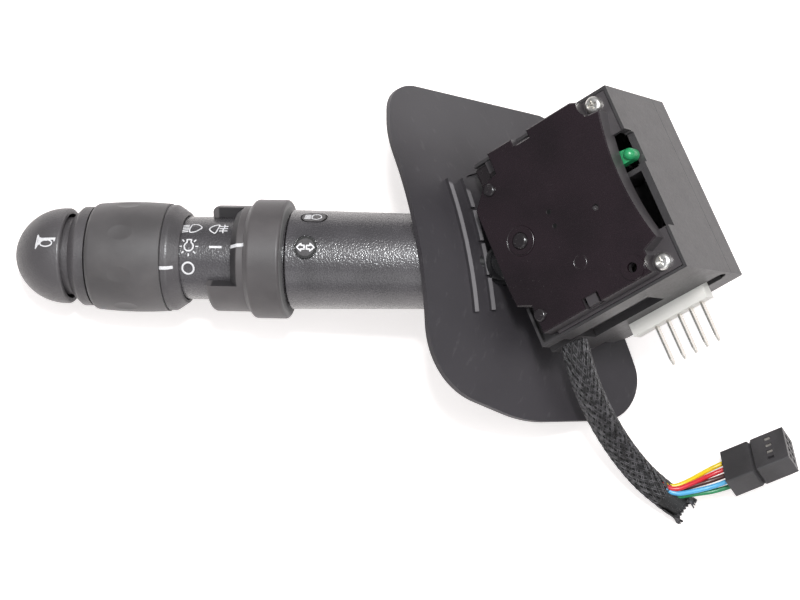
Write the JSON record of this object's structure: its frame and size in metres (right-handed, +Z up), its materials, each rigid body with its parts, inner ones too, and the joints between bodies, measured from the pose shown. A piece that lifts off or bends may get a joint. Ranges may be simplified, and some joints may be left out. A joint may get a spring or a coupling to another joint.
{
  "type": "combination stalk switch",
  "caption": "Steering column lever switch: round stalk with a twist light knob, fog ring and horn cap, bent shroud plate, flat switch case, cable and plug.",
  "frame": {"origin": "middle of the box round the part, without its free cable and plug, on the flat surface that it lies on", "axes": "+Z up from the surface, +X from the horn cap toward the switch case, +Y across"},
  "size_m": [0.2357, 0.127, 0.071],
  "materials": {
    "gloss_black": "glossy black moulding",
    "housing_grey": "dark grey glass-filled moulding",
    "lever_black": "fine textured satin black",
    "soft_black": "soft-touch matt black",
    "plate_grey": "matt dark grey",
    "natural_plastic": "natural white plastic",
    "white_header": "white plastic",
    "green_plastic": "green plastic",
    "board": "brown contact board",
    "zinc": "zinc plated",
    "steel": "plain steel",
    "tin": "tinned brass",
    "brass": "brass",
    "braid": "black braided polyester sleeving",
    "wire_yellow": "yellow insulation",
    "wire_red": "red insulation",
    "wire_blue": "light blue insulation",
    "wire_green": "dark green insulation",
    "wire_brown": "brown insulation",
    "plug_black": "satin black plastic"
  },
  "bodies": {
    "case": {"front_cover": "gloss_black", "switch_housing": "housing_grey", "back_cover": "housing_grey", "contact_board": "board", "terminal_header": "white_header", "blade_terminals": "tin", "cover_screws": "zinc", "stake_pegs": "gloss_black", "detent_cam": "natural_plastic", "pawl_pin": "steel", "cable_gland": "housing_grey", "cable_sleeve": "braid", "wire_yellow": "wire_yellow", "wire_red": "wire_red", "wire_blue": "wire_blue", "wire_green": "wire_green", "wire_brown": "wire_brown", "plug_housing": "plug_black", "plug_contacts": "tin"},
    "turn_rocker": {"rocker_cage": "gloss_black", "pivot_pins": "steel", "flash_pin": "steel", "detent_plunger": "natural_plastic", "detent_spring": "steel", "moving_contact": "brass"},
    "lever": {"lever_root": "gloss_black", "lever_tube": "steel", "lever_shaft": "lever_black", "arrows_badge": "gloss_black", "beam_badge": "gloss_black", "symbol_sleeve": "lever_black", "end_collar": "lever_black", "horn_contact": "brass", "horn_spring": "steel", "shroud_plate": "plate_grey"},
    "light_knob": {"index_ring": "lever_black", "light_grip": "soft_black"},
    "fog_switch": {"fog_ring": "soft_black"},
    "horn_button": {"horn_cap": "lever_black"},
    "cancel_finger": {"cancel_pawl": "green_plastic"}
  },
  "joints": [
    {"name": "turn_signal", "type": "hinge", "parent": "case", "child": "turn_rocker", "pos_m": [0.05081, 0.00036, 0.03662], "axis": [-0.5219, -0.1158, 0.8451], "range_deg": [-7, 7]},
    {"name": "flash_pull", "type": "hinge", "parent": "turn_rocker", "child": "lever", "pos_m": [0.05066, -0.00517, 0.03578], "axis": [0.0255, 0.9882, 0.1511], "range_deg": [0, 5], "stiffness_Nm_per_rad": 4, "springref_deg": -6.88},
    {"name": "light_turn", "type": "hinge", "parent": "lever", "child": "light_knob", "pos_m": [-0.06094, 0.00018, 0.01957], "axis": [-0.9885, 0.0474, -0.1435], "range_deg": [0, 60]},
    {"name": "fog_turn", "type": "hinge", "parent": "lever", "child": "fog_switch", "pos_m": [-0.03435, -0.0011, 0.02344], "axis": [-0.9885, 0.0474, -0.1435], "range_deg": [0, 30]},
    {"name": "horn_press", "type": "slide", "parent": "lever", "child": "horn_button", "axis": [0.9885, -0.0474, 0.1435], "range_m": [0, 0.0012], "stiffness_N_per_m": 2000, "springref_m": -0.001, "deforming": ["horn_spring"]},
    {"name": "cancel_swing", "type": "hinge", "parent": "case", "child": "cancel_finger", "pos_m": [0.06631, 0.01832, 0.05576], "axis": [-0.5219, -0.1158, 0.8451], "range_deg": [-10, 10], "stiffness_Nm_per_rad": 0.05}
  ]
}
